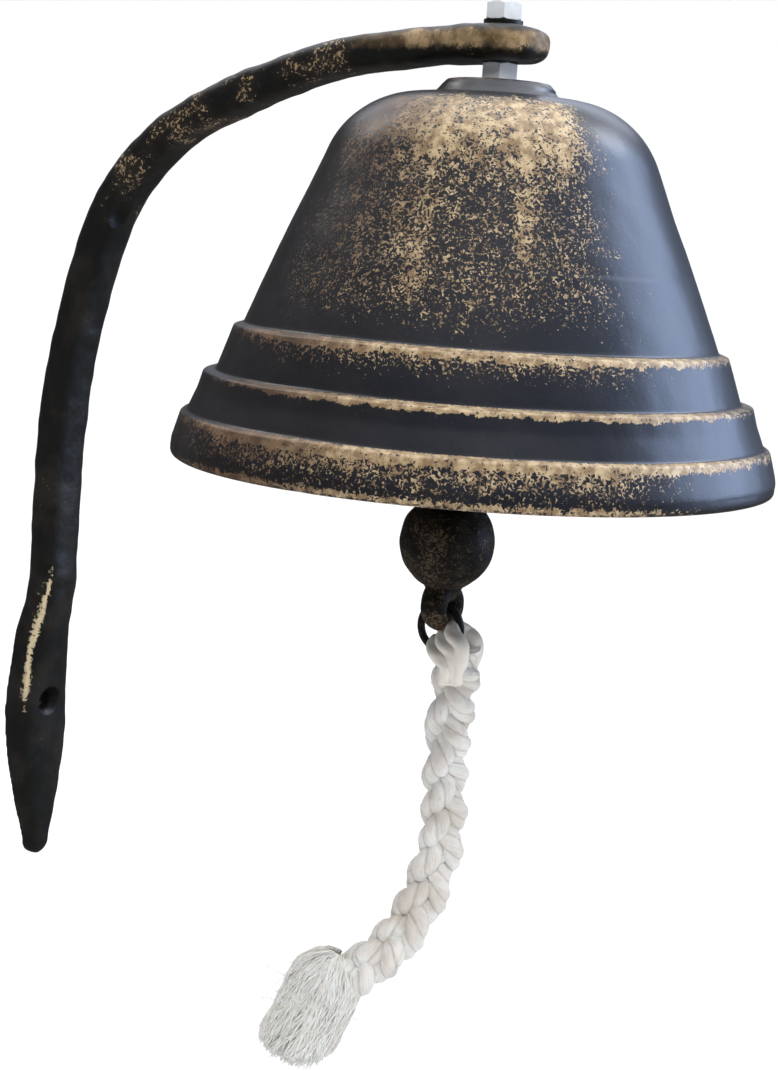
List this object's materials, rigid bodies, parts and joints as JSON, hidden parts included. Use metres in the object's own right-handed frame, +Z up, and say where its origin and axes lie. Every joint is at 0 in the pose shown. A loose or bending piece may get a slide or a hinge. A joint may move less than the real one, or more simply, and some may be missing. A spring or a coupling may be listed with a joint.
{
  "type": "wall mounted bell",
  "caption": "Cast bell on a curved wall bracket, with a ball clapper hung from an eye bolt and a short braided pull rope with a frayed end.",
  "frame": {"origin": "centre of the wall screw's hole, on the wall plane X = 0", "axes": "+X out from the wall along the arm, +Z up"},
  "size_m": [0.264, 0.18, 0.3313],
  "materials": {
    "bell_finish": "satin black paint, dry-brushed with antique gold on the shoulder and the step edges",
    "bracket_finish": "satin black paint, speckled with antique gold",
    "clapper_finish": "rough dark cast surface with a faint gold speckle",
    "zinc": "bright zinc plate",
    "dark_steel": "dull dark steel wire",
    "cotton": "undyed twisted cotton"
  },
  "bodies": {
    "bell_and_bracket": {"bracket": "bracket_finish", "eye_bolt": "zinc", "top_nut": "zinc", "lock_washer": "dark_steel", "spacer_nut": "zinc", "bell": "bell_finish", "inner_washer": "zinc", "inner_nut": "zinc"},
    "link": {"clapper_link": "dark_steel"},
    "clapper_body": {"clapper": "clapper_finish"},
    "ring": {"rope_ring": "dark_steel"},
    "pull_rope": {"rope_loop": "cotton", "rope": "cotton", "rope_knot": "cotton", "rope_tassel": "cotton"}
  },
  "joints": [
    {"name": "link_swing", "type": "hinge", "parent": "bell_and_bracket", "child": "link", "pos_m": [0.168, 0, 0.1882], "axis": [0, 1, 0], "range_deg": [-12, 12]},
    {"name": "clapper_swing", "type": "hinge", "parent": "link", "child": "clapper_body", "pos_m": [0.168, 0, 0.1765], "axis": [1, 0, 0], "range_deg": [-42, 42]},
    {"name": "ring_swing", "type": "hinge", "parent": "clapper_body", "child": "ring", "pos_m": [0.168, 0, 0.0607], "axis": [1, 0, 0], "range_deg": [-30, 30]},
    {"name": "rope_swing", "type": "hinge", "parent": "ring", "child": "pull_rope", "pos_m": [0.168, 0, 0.0537], "axis": [0, 1, 0], "range_deg": [-15, 15]}
  ]
}
